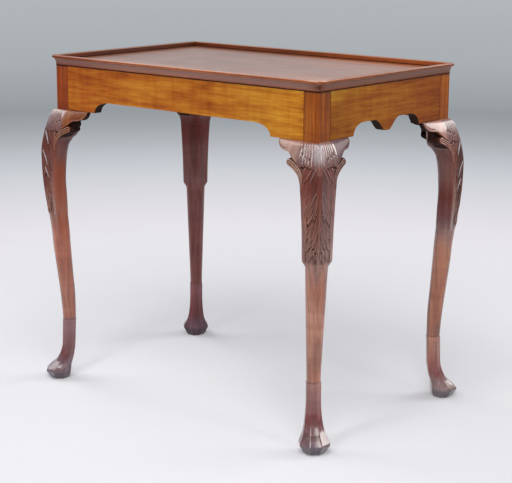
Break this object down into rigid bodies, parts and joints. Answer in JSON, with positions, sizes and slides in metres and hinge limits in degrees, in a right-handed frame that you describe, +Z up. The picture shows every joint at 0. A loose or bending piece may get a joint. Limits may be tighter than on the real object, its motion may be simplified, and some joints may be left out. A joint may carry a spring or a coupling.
{
  "type": "centre table",
  "caption": "Rectangular tray-top centre table with a raised rim, shaped aprons and carved cabriole legs on faceted pad feet.",
  "frame": {"origin": "on the floor, under the middle of the top", "axes": "+X along the long side, +Y from the front long side to the back one, +Z up"},
  "size_m": [0.787, 0.518, 0.725],
  "materials": {
    "top_wood": "polished dark mahogany",
    "rail_wood": "polished golden mahogany, lively figure",
    "leg_wood": "polished red-brown mahogany, carved",
    "block_wood": "unpolished deal",
    "screw_iron": "dull, hand-filed"
  },
  "bodies": {
    "root": {"top_board": "top_wood", "glue_blocks": "block_wood", "top_screws": "screw_iron", "rim_front": "top_wood", "apron_front": "rail_wood", "rim_back": "top_wood", "apron_back": "rail_wood", "rim_left": "top_wood", "apron_left": "rail_wood", "rim_right": "top_wood", "apron_right": "rail_wood", "leg_front_left": "leg_wood", "knee_block_front_left_long": "leg_wood", "knee_block_front_left_short": "leg_wood", "leg_front_right": "leg_wood", "knee_block_front_right_long": "leg_wood", "knee_block_front_right_short": "leg_wood", "leg_back_left": "leg_wood", "knee_block_back_left_long": "leg_wood", "knee_block_back_left_short": "leg_wood", "leg_back_right": "leg_wood", "knee_block_back_right_long": "leg_wood", "knee_block_back_right_short": "leg_wood"}
  },
  "joints": []
}
